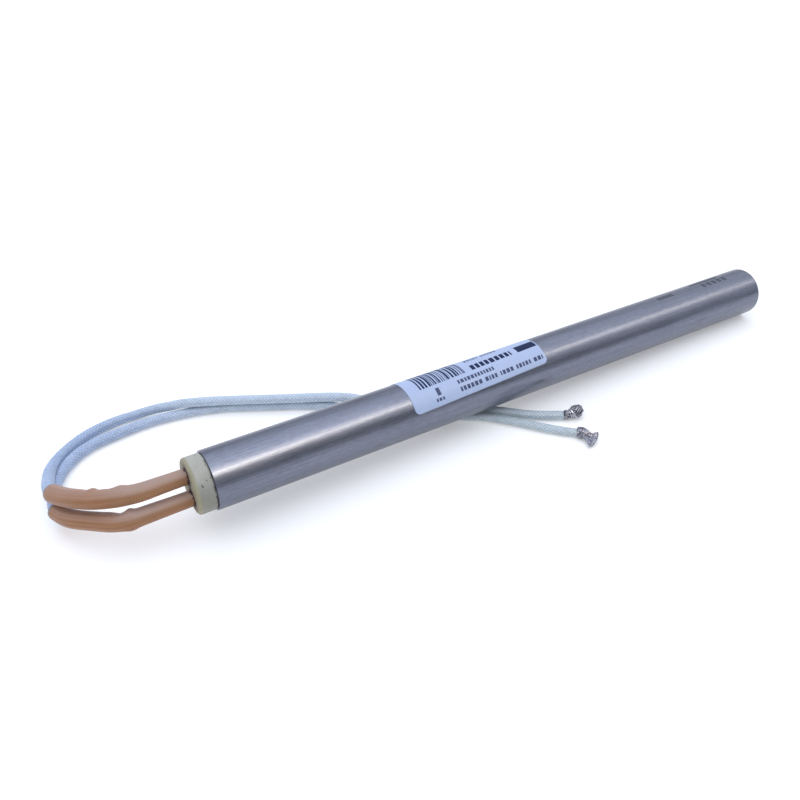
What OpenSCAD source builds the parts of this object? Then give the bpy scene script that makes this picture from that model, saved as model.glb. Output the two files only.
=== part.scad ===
// Cartridge heater: a round stainless sheath with a ceramic head at one end,
// two sleeved glass-braid leads and a paper sticker. It lies at rest with its
// closed end on the floor and its leads looped back underneath it.
// Millimetres, +Z up, +X from the head towards the closed end.

/* [Sheath] */
// Outside diameter of the sheath
sheath_d = 20; // [19.6:0.05:20]
// Length of the sheath from its rim to the closed end
sheath_l = 250; // [240:1:260]
// Wall of the sheath tube
sheath_wall = 1; // [0.8:0.1:1.2]
// Rounding of the sheath's closed-end edge
edge_r = 0.8; // [0.4:0.1:0.8]
// Thickness of the welded end disc
disc_t = 4; // [3:0.5:5]

/* [Head] */
// Outside diameter of the ceramic head's collar
head_d = 18.9; // [18.6:0.1:19.2]
// How far the collar stands out of the rim
head_out = 6; // [4:0.5:8]
// How far the head's spigot goes into the sheath
head_in = 7; // [6:0.5:7]
// Distance between the two lead holes
hole_pitch = 7.44; // [7.2:0.04:7.6]
// Turn of the line through the lead holes, away from upright
hole_turn = 23.8; // [10:0.1:35]
// Diameter of each lead hole
hole_d = 5.5; // [5.3:0.1:5.7]

/* [Inside] */
// Diameter of the magnesia winding core
core_d = 12; // [11.6:0.1:12]
// Diameter of each terminal pin
pin_d = 2.4; // [2:0.1:2.4]
// Diameter of the resistance wire
wire_d = 0.8; // [0.6:0.1:0.8]
// Turns of the resistance wire
turns = 30; // [20:1:32]

/* [Leads] */
// Width of a lead's glass braid across its flats
lead_w = 3.3; // [3:0.1:3.4]
// Diameter of the stranded conductor
strand_d = 2.1; // [1.6:0.1:2.1]
// Outside diameter of a sleeve at the head
sleeve_d0 = 4.9; // [4.7:0.1:5]
// Outside diameter of a sleeve where it covers the braid
sleeve_d1 = 6; // [5.6:0.1:6]

/* [Sticker] */
// Start of the sticker, measured from the rim
label_x = 71.5; // [60:0.5:80]
// Length of the sticker along the sheath
label_l = 58.5; // [40:0.5:60]
// Arc that the sticker covers, in degrees
label_arc = 143; // [90:1:180]

/* [Hidden] */
$fn = 96;

R = sheath_d/2;                 // sheath radius
ri = R - sheath_wall;           // inside radius of the sheath
gap = 0.05;                     // free play of what sits inside the sheath
tilt = 1.7;                     // dip of the axis towards the closed end, at rest
hr = head_d/2;

// where the rim's centre is when the closed end's edge touches the floor
rim_z = (sheath_l - edge_r)*sin(tilt) + (R - edge_r)*cos(tilt) + edge_r;
pin_out = 14;                   // pin length outside the rim
x_lo = -pin_out*cos(tilt) - (hole_pitch/2*cos(hole_turn) + pin_d/2)*sin(tilt);
x_hi = (sheath_l - edge_r)*cos(tilt) + (R - edge_r)*sin(tilt) + edge_r;
rim_x = -(x_lo + x_hi)/2;

// the two lead holes, seen along the axis: [y, z]
hole_1 = hole_pitch/2*[sin(hole_turn), cos(hole_turn)];
hole_2 = -hole_1;

// stations along the axis, from the rim
x_seal = head_in + 0.2;         // sealing cement behind the spigot
seal_t = 3.6;
x_top = x_seal + seal_t + 0.1;  // upper insulating disc
top_t = 3;
x_core = x_top + top_t + 1.6;   // winding core
x_disc = sheath_l - disc_t;     // welded end disc
base_t = 4;
x_base = x_disc - base_t - 0.1; // lower insulating disc
core_end = x_base - 1.6;
crimp_a = 9;                    // crimp barrel, outside the rim
crimp_b = 20;
crimp_r = 1.7;
pin_in = 42;                    // pin length inside the rim

// Routes of the two leads on the floor, measured from below the rim's centre.
// Each starts where the straight terminal ends and stops at the braid's end.
route_1 = [
    [-26.5, 3.5, 21], [-32, 7.5, 19.3], [-37.5, 14.2, 16.6],
    [-41, 21, 13.5], [-43.5, 27.5, 11], [-44, 34, 8.5], [-43, 41, 6],
    [-41, 48, 4.4], [-36.5, 54.5, 3], [-29.5, 60, 2], [-20, 63.5, 1.65],
    [-10, 64.5, 1.8], [0, 62.2, 3.3], [10, 57.2, 5], [22, 51.5, 5.2],
    [37, 43.5, 5.2], [52, 35.5, 5.2], [64, 28.8, 5], [77, 20.5, 2.8],
    [92, 10, 1.65], [104, 0.5, 1.65], [112.5, -5.5, 1.65],
    [121, -12.5, 1.65], [131.2, -18.9, 1.65]];
tip_1 = [[133.2, -19.6, 1.7], [136.2, -20.8, 1.8], [139.2, -21.4, 1.8]];
route_2 = [
    [-25.5, -1.4, 14.7], [-29, 0.8, 13.7], [-34.5, 7.2, 11.3],
    [-40, 14.5, 8.6], [-42.5, 20, 6.6], [-43.5, 25.5, 5.1],
    [-43, 31.5, 3.8], [-40.5, 39.5, 2.5], [-37.5, 46, 1.8],
    [-31.5, 52, 1.65], [-23, 56, 1.65], [-14, 57.5, 1.65],
    [-4.5, 57.8, 1.65], [4, 56.8, 1.65], [12.5, 55, 1.65],
    [22, 51.8, 1.65], [37, 44, 1.65], [52, 35.8, 1.65], [63, 27, 1.65],
    [74, 17.5, 1.65], [85, 9, 1.65], [96.5, 0.3, 1.65],
    [107, -8, 1.65], [115, -16.5, 1.65], [122, -24, 1.65],
    [129, -29.8, 1.65]];
tip_2 = [[130.6, -31.2, 1.7], [132, -33.4, 1.8], [133, -36, 1.8]];
sleeve_n1 = 5;                  // route points that each sleeve covers
sleeve_n2 = 6;

// ---- placing ----

// heater axis to the floor's frame
module place() { translate([rim_x, 0, rim_z]) rotate([0, tilt, 0]) children(); }
// a turned piece: its local Z becomes the heater's axis
module along() { rotate([0, 90, 0]) children(); }
// a round bar on the axis from x0 to x1
module bar(x0, x1, r) { translate([x0, 0, 0]) along() cylinder(r = r, h = x1 - x0); }
// a round bar through one of the lead holes
module lead_bar(h, x0, x1, r) { translate([x0, h[0], h[1]]) along() cylinder(r = r, h = x1 - x0); }

function from_axis(p) = [rim_x + p[0]*cos(tilt) + p[2]*sin(tilt), p[1],
                         rim_z - p[0]*sin(tilt) + p[2]*cos(tilt)];
function on_floor(p) = [rim_x + p[0], p[1], p[2]];

// ---- swept tubes ----

function unit(v) = v/norm(v);
function tangents(P) = [for (i = [0:len(P)-1])
    unit(P[min(i+1, len(P)-1)] - P[max(i-1, 0)])];
function across(n, t) = unit(n - (n*t)*t);
// normals that stay as upright as the route allows
function upright(T) = [for (t = T) across([0, 0, 1], t)];
// normals carried along a winding route without twisting
function carried(T, n0) = [for (i = 0, n = across(n0, T[0]); i < len(T);
    i = i + 1, n = i < len(T) ? across(n, T[i]) : n) n];
function ring(c, t, n, r, sides) = [for (k = [0:sides-1])
    let (a = 360*(k + 0.5)/sides) c + r*(cos(a)*n + sin(a)*cross(t, n))];
function flat(L) = [for (l = L) for (p = l) p];
function wall_faces(m, sides, base, inward) = [for (i = [0:m-2]) for (j = [0:sides-1])
    let (a = base + i*sides + j, b = base + i*sides + (j+1)%sides,
         d = a + sides, c = b + sides)
    each inward ? [[a, b, c], [a, c, d]] : [[a, c, b], [a, d, c]]];

// a solid round bar with its radius given at each point
module solid_sweep(P, N, rr, sides) {
    T = tangents(P);
    m = len(P);
    pts = flat([for (i = [0:m-1]) ring(P[i], T[i], N[i], rr[i], sides)]);
    polyhedron(pts, concat(wall_faces(m, sides, 0, false),
        [[for (j = [0:sides-1]) j]],
        [[for (j = [sides-1:-1:0]) (m-1)*sides + j]]));
}

// a hollow tube with both radii given at each point
module tube_sweep(P, N, ro, rb, sides) {
    T = tangents(P);
    m = len(P);
    q = m*sides;
    e = (m-1)*sides;
    pts = concat(flat([for (i = [0:m-1]) ring(P[i], T[i], N[i], ro[i], sides)]),
                 flat([for (i = [0:m-1]) ring(P[i], T[i], N[i], rb[i], sides)]));
    polyhedron(pts, concat(wall_faces(m, sides, 0, false),
        wall_faces(m, sides, q, true),
        [for (j = [0:sides-1]) let (k = (j+1)%sides) each
            [[k, q+k, q+j], [k, q+j, j],
             [e+q+j, e+q+k, e+k], [e+q+j, e+k, e+j]]]));
}

// centre lines of the leads, from just outside the crimp barrel
function lead_line(h, route) = concat(
    [from_axis([-crimp_b - 0.6, h[0], h[1]])], [for (p = route) on_floor(p)]);
function conductor_line(h, route, tip) = concat(
    [from_axis([-pin_out - 0.6, h[0], h[1]])],
    lead_line(h, route), [for (p = tip) on_floor(p)]);
function sleeve_line(h, route, n) = concat(
    [from_axis([-0.6, h[0], h[1]]), from_axis([-11, h[0], h[1]])],
    [for (i = [0:n]) lead_line(h, route)[i]]);

module lead_tube(h, route) {
    P = lead_line(h, route);
    c = cos(22.5);
    tube_sweep(P, upright(tangents(P)),
        [for (p = P) lead_w/2/c], [for (p = P) (strand_d/2 + 0.1)/c], 8);
}

module conductor_bar(h, route, tip) {
    P = conductor_line(h, route, tip);
    m = len(P);
    solid_sweep(P, upright(tangents(P)),
        [for (i = [0:m-1]) i < m-3 ? strand_d/2 : i == m-3 ? 1.3 : 1.6], 8);
}

module sleeve_tube(h, route, n) {
    P = sleeve_line(h, route, n);
    m = len(P);
    w = 0.55;
    s = [for (i = [0:m-1]) i < 2 ? 0 : i == 2 ? 0.35 : i == 3 ? 0.7 : 1];
    ro = [for (t = s) (sleeve_d0 + t*(sleeve_d1 - sleeve_d0))/2];
    tube_sweep(P, upright(tangents(P)), ro, [for (r = ro) r - w], 12);
}

// ---- sheath and what closes it ----

module sheath() {
    color([0.56, 0.57, 0.62]) place() along() rotate_extrude() union() {
        translate([ri, 0]) square([sheath_wall - 0.2, sheath_l - edge_r]);
        translate([R - 0.3, 0.2]) square([0.3, sheath_l - edge_r - 0.2]);
        translate([ri, 0]) square([max(R - edge_r - ri, 0.01), sheath_l]);
        intersection() {
            translate([R - edge_r, sheath_l - edge_r]) circle(edge_r);
            translate([ri, sheath_l - edge_r]) square([sheath_wall, edge_r]);
        }
    }
}

module end_disc() {
    color([0.6, 0.6, 0.63]) place() bar(x_disc, sheath_l, ri - 0.02);
}

module ceramic_head() {
    e = 1;
    color([0.86, 0.85, 0.72]) place() difference() {
        union() {
            along() rotate_extrude() union() {
                translate([0, -head_out]) square([hr - e, head_out]);
                translate([0, -head_out + e]) square([hr, head_out - e]);
                translate([hr - e, -head_out + e]) circle(e);
            }
            bar(0, head_in, ri - gap);
        }
        for (h = [hole_1, hole_2]) {
            lead_bar(h, -head_out - 1, 1, hole_d/2);
            lead_bar(h, 0, head_in + 1, pin_d/2 + gap);
        }
    }
}

// a disc inside the sheath that both pins pass through
module pin_disc(x0, t) {
    difference() {
        bar(x0, x0 + t, ri - gap);
        for (h = [hole_1, hole_2]) lead_bar(h, x0 - 1, x0 + t + 1, pin_d/2 + gap);
    }
}

module head_seal() { color([0.78, 0.74, 0.66]) place() pin_disc(x_seal, seal_t); }
module top_insulator() { color([0.92, 0.92, 0.9]) place() pin_disc(x_top, top_t); }

module base_insulator() {
    color([0.92, 0.92, 0.9]) place() bar(x_base, x_base + base_t, ri - gap);
}

// ---- heating element ----

module winding_core() {
    color([0.94, 0.94, 0.92]) place() difference() {
        bar(x_core, core_end, core_d/2);
        for (h = [hole_1, hole_2]) lead_bar(h, x_core - 1, core_end + 1, pin_d/2 + 0.1);
    }
}

module magnesia_fill() {
    color([0.9, 0.9, 0.88]) place() difference() {
        bar(x_core, core_end, ri - gap);
        bar(x_core - 1, core_end + 1, core_d/2 + wire_d + 0.7);
    }
}

// the wire leaves pin 1 in front of the core, winds down the core's outside,
// crosses the core's far end and comes back through its second bore to pin 2
module heating_coil() {
    rw = core_d/2 + wire_d/2 + 0.35;
    per = 12;
    n = turns*per;
    xa = x_core + 6;
    xb = core_end - 6;
    u1 = atan2(hole_1[0], hole_1[1]);
    u2 = atan2(hole_2[0], hole_2[1]) + 360*ceil(turns - 0.5);
    ra = norm(hole_1) + pin_d/2 + 0.02;
    xf = x_core - 0.8;
    xr = core_end + 0.8;
    function on(x, r, u) = [x, r*sin(u), r*cos(u)];
    P = concat(
        [on(xf, ra, u1), on(xf, rw - 0.4, u1), on(xf + 0.6, rw, u1), on(xa - 2, rw, u1)],
        [for (i = [0:n]) let (t = i/n) on(xa + t*(xb - xa), rw, u1 + t*(u2 - u1))],
        [on(xb + 2, rw, u2), on(xr - 0.6, rw, u2), on(xr, rw - 0.4, u2),
         on(xr, norm(hole_2) + 0.5, u2), on(xr - 0.6, norm(hole_2), u2),
         on(xr - 3, norm(hole_2), u2), on(pin_in + 0.05, norm(hole_2), u2)]);
    color([0.5, 0.47, 0.44]) place()
        solid_sweep(P, carried(tangents(P), [0, 1, 0.3]), [for (p = P) wire_d/2], 5);
}

module terminal_pin(h) {
    color([0.66, 0.65, 0.62]) place() lead_bar(h, -pin_out, pin_in, pin_d/2);
}
module terminal_pin_1() { terminal_pin(hole_1); }
module terminal_pin_2() { terminal_pin(hole_2); }

// ---- leads ----

module crimp(h) {
    color([0.7, 0.69, 0.66]) place() difference() {
        lead_bar(h, -crimp_b, -crimp_a, crimp_r);
        lead_bar(h, -crimp_b - 1, -crimp_a + 1, pin_d/2 + 0.02);
    }
}
module crimp_1() { crimp(hole_1); }
module crimp_2() { crimp(hole_2); }

module sleeve_1() { color([0.86, 0.66, 0.53]) sleeve_tube(hole_1, route_1, sleeve_n1); }
module sleeve_2() { color([0.86, 0.66, 0.53]) sleeve_tube(hole_2, route_2, sleeve_n2); }
module lead_1() { color([0.78, 0.83, 0.92]) lead_tube(hole_1, route_1); }
module lead_2() { color([0.78, 0.83, 0.92]) lead_tube(hole_2, route_2); }
module conductor_1() { color([0.62, 0.6, 0.6]) conductor_bar(hole_1, route_1, tip_1); }
module conductor_2() { color([0.62, 0.6, 0.6]) conductor_bar(hole_2, route_2, tip_2); }

// ---- sticker ----

module label() {
    color([0.93, 0.93, 0.96]) place() translate([label_x, 0, 0]) along()
        rotate([0, 0, 240 - label_arc]) rotate_extrude(angle = label_arc)
            translate([R + 0.01, 0]) square([0.15, label_l]);
}

sheath();
end_disc();
base_insulator();
winding_core();
heating_coil();
magnesia_fill();
top_insulator();
head_seal();
ceramic_head();
terminal_pin_1();
terminal_pin_2();
crimp_1();
crimp_2();
sleeve_1();
sleeve_2();
lead_1();
lead_2();
conductor_1();
conductor_2();
label();
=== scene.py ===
"""Looks of a cartridge heater: steel sheath, ceramic head, two sleeved glass-braid leads, paper sticker."""

import math

import bpy
import numpy as np
from mathutils import Matrix, Vector


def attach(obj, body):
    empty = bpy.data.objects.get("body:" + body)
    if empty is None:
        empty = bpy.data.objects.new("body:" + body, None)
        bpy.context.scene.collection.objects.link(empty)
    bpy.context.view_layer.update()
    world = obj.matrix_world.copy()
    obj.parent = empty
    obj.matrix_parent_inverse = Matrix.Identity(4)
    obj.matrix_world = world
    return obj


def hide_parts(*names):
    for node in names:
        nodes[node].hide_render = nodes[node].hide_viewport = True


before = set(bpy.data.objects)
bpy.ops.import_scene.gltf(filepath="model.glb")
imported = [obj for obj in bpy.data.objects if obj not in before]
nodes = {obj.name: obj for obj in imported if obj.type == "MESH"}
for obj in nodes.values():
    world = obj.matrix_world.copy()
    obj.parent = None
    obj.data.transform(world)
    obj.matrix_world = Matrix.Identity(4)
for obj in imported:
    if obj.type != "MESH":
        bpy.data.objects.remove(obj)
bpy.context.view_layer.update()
rng = np.random.default_rng(11)

# ---------------------------------------------------------------- sizes, in mm

RIM_X, RIM_Z, TILT = -118.0164, 17.38878, math.radians(1.7)
R, BORE, LONG = 10.0, 9.0, 250.0
HOLE_1 = (1.501, 3.404)
HOLE_2 = (-1.501, -3.404)
HEAD_OUT, HEAD_IN, HEAD_R = 6.0, 7.0, 9.45

ROUTE_1 = [
    (-26.5, 3.5, 21), (-32, 7.5, 19.3), (-37.5, 14.2, 16.6), (-41, 21, 13.5),
    (-43.5, 27.5, 11), (-44, 34, 8.5), (-43, 41, 6), (-41, 48, 4.4),
    (-36.5, 54.5, 3), (-29.5, 60, 2), (-20, 63.5, 1.65), (-10, 64.5, 1.8),
    (0, 62.2, 3.3), (10, 57.2, 5), (22, 51.5, 5.2), (37, 43.5, 5.2),
    (52, 35.5, 5.2), (64, 28.8, 5), (77, 20.5, 2.8), (92, 10, 1.65),
    (104, 0.5, 1.65), (112.5, -5.5, 1.65), (121, -12.5, 1.65), (131.2, -18.9, 1.65),
]
ROUTE_2 = [
    (-25.5, -1.4, 14.7), (-29, 0.8, 13.7), (-34.5, 7.2, 11.3), (-40, 14.5, 8.6),
    (-42.5, 20, 6.6), (-43.5, 25.5, 5.1), (-43, 31.5, 3.8), (-40.5, 39.5, 2.5),
    (-37.5, 46, 1.8), (-31.5, 52, 1.65), (-23, 56, 1.65), (-14, 57.5, 1.65),
    (-4.5, 57.8, 1.65), (4, 56.8, 1.65), (12.5, 55, 1.65), (22, 51.8, 1.65),
    (37, 44, 1.65), (52, 35.8, 1.65), (63, 27, 1.65), (74, 17.5, 1.65),
    (85, 9, 1.65), (96.5, 0.3, 1.65), (107, -8, 1.65), (115, -16.5, 1.65),
    (122, -24, 1.65), (129, -29.8, 1.65),
]

CT, ST = math.cos(TILT), math.sin(TILT)
AXIS = np.array([CT, 0, -ST])
TOP = np.array([ST, 0, CT])
SIDE = np.array([0.0, 1.0, 0.0])
RIM = np.array([RIM_X, 0, RIM_Z])


def on_axis(x, y=0.0, z=0.0):
    """A point given along the heater's axis, sideways and up from it."""
    return RIM + np.multiply.outer(x, AXIS) + np.multiply.outer(y, SIDE) + np.multiply.outer(z, TOP)


def on_wall(x, turn, r):
    """A point on the sheath's wall: along the axis, angle from the top in radians, radius."""
    return on_axis(x, r * np.sin(turn), r * np.cos(turn))


# ---------------------------------------------------------------- mesh helpers


def smooth(a, b, x):
    t = np.clip((np.asarray(x, float) - a) / (b - a), 0, 1)
    return t * t * (3 - 2 * t)


def unit(v):
    return v / np.linalg.norm(v, axis=-1, keepdims=True)


def spline(points, step):
    """A smooth curve through the points, resampled evenly. Gives points, distances, and each given point's distance."""
    p = np.array(points, float)
    d = np.linalg.norm(np.diff(p, axis=0), axis=1)
    t = np.concatenate([[0], np.cumsum(d)])
    n = len(p)
    a, b = np.zeros((n, n)), np.zeros((n, 3))
    a[0, 0] = a[-1, -1] = 1
    for i in range(1, n - 1):
        a[i, i - 1], a[i, i], a[i, i + 1] = d[i - 1], 2 * (d[i - 1] + d[i]), d[i]
        b[i] = 6 * ((p[i + 1] - p[i]) / d[i] - (p[i] - p[i - 1]) / d[i - 1])
    m = np.linalg.solve(a, b)
    u = np.linspace(0, t[-1], n * 60)
    i = np.clip(np.searchsorted(t, u, side="right") - 1, 0, n - 2)
    f, g, h = (t[i + 1] - u)[:, None], (u - t[i])[:, None], d[i][:, None]
    q = m[i] * f**3 / (6 * h) + m[i + 1] * g**3 / (6 * h)
    q += (p[i] / h - m[i] * h / 6) * f + (p[i + 1] / h - m[i + 1] * h / 6) * g
    run = np.concatenate([[0], np.cumsum(np.linalg.norm(np.diff(q, axis=0), axis=1))])
    s = np.linspace(0, run[-1], max(2, int(round(run[-1] / step)) + 1))
    return np.stack([np.interp(s, run, q[:, k]) for k in range(3)], 1), s, np.interp(t, u, run)


def eased(q, s, width):
    """The curve with its sharp bends eased over a width, its ends kept."""
    step = s[1] - s[0]
    k = int(math.ceil(3 * width / step))
    w = np.exp(-0.5 * (np.arange(-k, k + 1) * step / width) ** 2)
    w /= w.sum()
    head = 2 * q[0] - q[k:0:-1]
    tail = 2 * q[-1] - q[-2:-k - 2:-1]
    pad = np.concatenate([head, q, tail])
    return np.stack([np.convolve(pad[:, i], w, "valid") for i in range(3)], 1)


def frames(q, n0=(0, 0, 1)):
    """Tangents and two normals along a curve, carried without twisting."""
    t = unit(np.gradient(q, axis=0))
    n = np.zeros_like(t)
    v = np.array(n0, float)
    for i in range(len(t)):
        v = v - (v @ t[i]) * t[i]
        v = v / np.linalg.norm(v)
        n[i] = v
    return t, n, np.cross(t, n)


class Build:
    """Collects vertices and faces, in mm, and makes one mesh object of them, in metres."""

    def __init__(self):
        self.v, self.f, self.mat, self.count = [], [], [], 0

    def add(self, verts, faces, mat=0):
        verts = np.asarray(verts, float).reshape(-1, 3)
        base = self.count
        self.v.append(verts)
        self.count += len(verts)
        self.f += [[base + int(k) for k in face] for face in faces]
        self.mat += [mat] * len(faces)
        return base

    def rings(self, p, mat=0, cap0=False, cap1=False, loop=False):
        """Skins rings p[n, m, 3]. Ring order and angle order make outward faces."""
        n, m = p.shape[:2]
        i = np.arange(n if loop else n - 1)[:, None]
        j = np.arange(m)[None, :]
        k = (j + 1) % m
        a, b = i * m + j, i * m + k
        nxt = (i + 1) % n
        quads = np.stack([a, b, nxt * m + k, nxt * m + j], -1).reshape(-1, 4)
        faces = quads.tolist()
        if cap0:
            faces.append(list(range(m - 1, -1, -1)))
        if cap1:
            faces.append([(n - 1) * m + x for x in range(m)])
        return self.add(p, faces, mat)

    def tube(self, q, r, sides=8, mat=0):
        """A capped wire along points q with radius r."""
        q = np.asarray(q, float)
        t, n, b = frames(q, (0.13, 0.21, 0.97))
        a = np.linspace(0, 2 * math.pi, sides, endpoint=False)
        rr = np.broadcast_to(np.asarray(r, float), (len(q),))
        p = q[:, None] + rr[:, None, None] * (
            np.cos(a)[None, :, None] * n[:, None] + np.sin(a)[None, :, None] * b[:, None]
        )
        self.rings(p, mat, True, True)

    def patch(self, x0, x1, y0, y1, r0, r1, place, steps=None, mat=0):
        """A thin curved slab between two radii over a rectangle of a wrapped sheet."""
        m = steps or max(2, int(abs(y1 - y0) / 0.35) + 1)
        y = np.linspace(y0, y1, m)
        lo0, lo1 = place(np.full(m, x0), y, r0), place(np.full(m, x1), y, r0)
        hi0, hi1 = place(np.full(m, x0), y, r1), place(np.full(m, x1), y, r1)
        p = np.stack([lo0, lo1, hi1, hi0], 1)
        self.rings(p, mat, True, True)

    def object(self, name, materials, sharp=None, attrs=None):
        mesh = bpy.data.meshes.new(name)
        mesh.from_pydata((np.concatenate(self.v) * 0.001).tolist(), [], self.f)
        for m in materials:
            mesh.materials.append(m)
        mesh.polygons.foreach_set("material_index", np.array(self.mat, np.int32))
        for key, values in (attrs or {}).items():
            at = mesh.attributes.new(key, "FLOAT", "POINT")
            at.data.foreach_set("value", np.asarray(values, np.float32).ravel())
        mesh.validate()
        mesh.update()
        mesh.shade_smooth()
        if sharp:
            mesh.set_sharp_from_angle(angle=math.radians(sharp))
        o = bpy.data.objects.new(name, mesh)
        bpy.context.scene.collection.objects.link(o)
        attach(o, "root")
        return o


def turned(profile, seg):
    """Rings of a profile of (x, r) turned about the heater's axis."""
    a = np.linspace(0, 2 * math.pi, seg, endpoint=False)
    x = np.array([p[0] for p in profile])[:, None]
    r = np.array([p[1] for p in profile])[:, None]
    return on_axis(x + 0 * a, r * np.sin(a), r * np.cos(a))


def arc(cx, cr, radius, a0, a1, n):
    return [(cx + radius * math.cos(math.radians(a)), cr + radius * math.sin(math.radians(a)))
            for a in np.linspace(a0, a1, n)]


# ---------------------------------------------------------------- materials


def material(name, **sockets):
    m = bpy.data.materials.new(name)
    m.use_nodes = True
    b = m.node_tree.nodes["Principled BSDF"]
    for k, v in sockets.items():
        b.inputs[k.replace("_", " ")].default_value = v
    return m, m.node_tree, b


def put(tree, kind, ins=None, **props):
    n = tree.nodes.new(kind)
    for k, v in props.items():
        setattr(n, k, v)
    for k, v in (ins or {}).items():
        if isinstance(v, bpy.types.NodeSocket):
            tree.links.new(v, n.inputs[k])
        else:
            n.inputs[k].default_value = v
    return n


def coords(tree, scale, along=False):
    """Object coordinates, stretched; along the heater's own axis if asked."""
    v = put(tree, "ShaderNodeTexCoord").outputs["Object"]
    if along:
        v = put(tree, "ShaderNodeMapping", {"Vector": v, "Rotation": (0, -TILT, 0)}).outputs[0]
    return put(tree, "ShaderNodeMapping", {"Vector": v, "Scale": scale}).outputs[0]


def noise(tree, vector, scale=1.0, detail=3.0, rough=0.55):
    return put(tree, "ShaderNodeTexNoise",
               {"Vector": vector, "Scale": scale, "Detail": detail, "Roughness": rough}).outputs[0]


def ramp(tree, fac, *stops):
    n = put(tree, "ShaderNodeValToRGB", {"Fac": fac})
    e = n.color_ramp.elements
    while len(e) < len(stops):
        e.new(0.5)
    for el, (at, col) in zip(e, stops):
        el.position = at
        el.color = (col, col, col, 1) if isinstance(col, (int, float)) else (*col, 1)
    return n.outputs[0]


def mixed(tree, fac, a, b, blend="MIX"):
    n = tree.nodes.new("ShaderNodeMix")
    n.data_type, n.blend_type = "RGBA", blend
    for i, v in ((0, fac), (6, a), (7, b)):
        if isinstance(v, bpy.types.NodeSocket):
            tree.links.new(v, n.inputs[i])
        elif i == 0:
            n.inputs[0].default_value = v
        else:
            n.inputs[i].default_value = (*v, 1)
    return n.outputs[2]


def maths(tree, op, a, b=0.0):
    return put(tree, "ShaderNodeMath", {0: a, 1: b}, operation=op).outputs[0]


def bump(tree, height, strength, distance, normal=None):
    ins = {"Height": height, "Strength": strength, "Distance": distance}
    if normal is not None:
        ins["Normal"] = normal
    return put(tree, "ShaderNodeBump", ins).outputs[0]


def attribute(tree, name):
    return put(tree, "ShaderNodeAttribute", attribute_name=name).outputs["Fac"]


def steel_material(name, base, rough, streak=1.0):
    """Ground steel: fine lengthwise streaks, cloudy handling marks, a few deeper scratches."""
    m, t, b = material(name, Metallic=1.0)
    fine = noise(t, coords(t, (26, 3400, 3400), True), 1, 2, 0.6)
    broad = noise(t, coords(t, (9, 520, 520), True), 1, 3, 0.6)
    cloud = noise(t, coords(t, (60, 160, 160), True), 1, 4, 0.6)
    lines = ramp(t, fine, (0.30, 0.84), (0.52, 1.0), (0.72, 1.09))
    bands = ramp(t, broad, (0.30, 0.90), (0.55, 1.0), (0.75, 1.06))
    dirt = ramp(t, cloud, (0.26, 0.88), (0.45, 1.0), (0.8, 1.03))
    c = mixed(t, 1.0, base, lines, "MULTIPLY")
    c = mixed(t, 1.0, c, bands, "MULTIPLY")
    c = mixed(t, 1.0, c, dirt, "MULTIPLY")
    grain = noise(t, coords(t, (420, 1700, 1700), True), 1, 2, 0.6)
    c = mixed(t, 1.0, c, ramp(t, grain, (0.32, 0.91), (0.5, 1.0), (0.68, 1.08)), "MULTIPLY")
    t.links.new(c, b.inputs["Base Color"])
    r = maths(t, "MULTIPLY_ADD", fine, 0.12 * streak)
    t.nodes[-1].inputs[2].default_value = rough - 0.06 * streak
    r2 = maths(t, "MULTIPLY_ADD", cloud, 0.14)
    t.nodes[-1].inputs[2].default_value = -0.07
    t.links.new(maths(t, "ADD", r, r2), b.inputs["Roughness"])
    n = bump(t, fine, 0.10 * streak, 0.00004)
    n = bump(t, broad, 0.10 * streak, 0.0001, n)
    n = bump(t, grain, 0.16 * streak, 0.00005, n)
    t.links.new(n, b.inputs["Normal"])
    return m


STEEL = (0.186, 0.201, 0.248)
MAT_SHEATH = steel_material("sheath_ground_steel", STEEL, 0.33)
MAT_DISC = steel_material("end_disc_steel", (0.225, 0.235, 0.275), 0.4, 0.6)


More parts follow.
